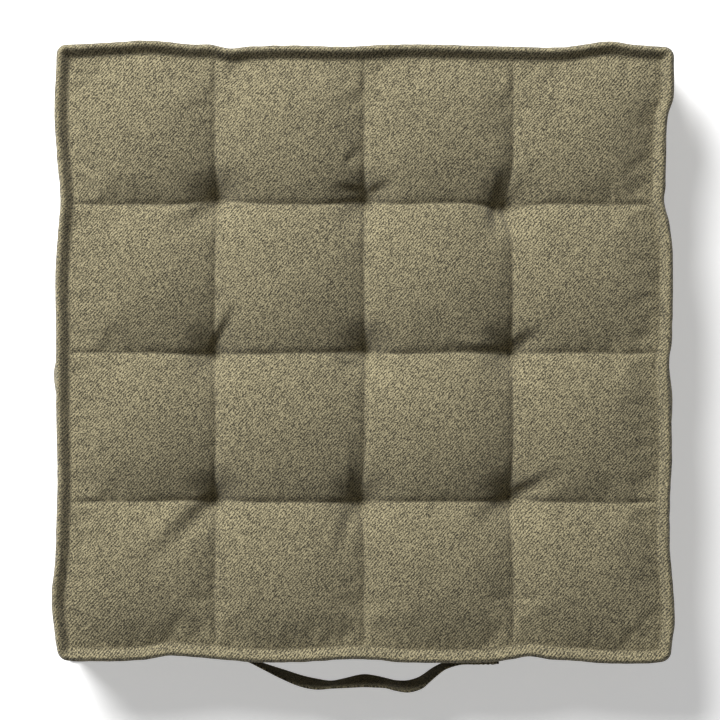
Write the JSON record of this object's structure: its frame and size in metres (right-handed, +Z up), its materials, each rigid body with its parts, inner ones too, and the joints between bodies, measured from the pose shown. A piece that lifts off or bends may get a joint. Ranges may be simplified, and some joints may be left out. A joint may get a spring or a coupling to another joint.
{
  "type": "floor cushion",
  "caption": "Square tufted floor cushion with box sides, a raised seam flange and a fabric carrying handle that swings on one side.",
  "frame": {"origin": "centre of the cushion's underside, on the surface that it rests on", "axes": "+Z up out of the tufted face, +X to the right when the handle side faces the viewer, -Y towards the handle"},
  "size_m": [0.6, 0.6349, 0.1],
  "materials": {
    "cover_fabric": "matte heathered khaki twill",
    "strap_fabric": "matte heathered khaki twill, folded and topstitched",
    "sewing_thread": "matte spun thread",
    "tufting_twine": "matte waxed twine",
    "foam": "matte open-cell foam",
    "wadding": "matte fibre wadding"
  },
  "bodies": {
    "cushion": {"top_panel": "cover_fabric", "bottom_panel": "cover_fabric", "right_boxing": "cover_fabric", "back_boxing": "cover_fabric", "left_boxing": "cover_fabric", "front_boxing": "cover_fabric", "corner_seam_back_right": "sewing_thread", "corner_seam_back_left": "sewing_thread", "corner_seam_front_left": "sewing_thread", "corner_seam_front_right": "sewing_thread", "top_flange_stitching": "sewing_thread", "bottom_flange_stitching": "sewing_thread", "quilting_stitch_left": "sewing_thread", "quilting_stitch_centre": "sewing_thread", "quilting_stitch_right": "sewing_thread", "quilting_stitch_front": "sewing_thread", "quilting_stitch_middle": "sewing_thread", "quilting_stitch_back": "sewing_thread", "foam_core": "foam", "top_wadding": "wadding", "bottom_wadding": "wadding", "side_wadding": "wadding", "tuft_twine_front_left": "tufting_twine", "tuft_twine_front_centre": "tufting_twine", "tuft_twine_front_right": "tufting_twine", "tuft_twine_middle_left": "tufting_twine", "tuft_twine_middle_centre": "tufting_twine", "tuft_twine_middle_right": "tufting_twine", "tuft_twine_back_left": "tufting_twine", "tuft_twine_back_centre": "tufting_twine", "tuft_twine_back_right": "tufting_twine", "handle_end_left": "strap_fabric", "handle_end_right": "strap_fabric", "handle_stitching_left": "sewing_thread", "handle_stitching_right": "sewing_thread"},
    "handle": {"handle_loop": "strap_fabric", "loop_stitching": "sewing_thread"}
  },
  "joints": [
    {"name": "handle_swing", "type": "hinge", "parent": "cushion", "child": "handle", "pos_m": [0, -0.3144, 0.05], "axis": [-1, 0, 0], "range_deg": [-54, 86]}
  ]
}
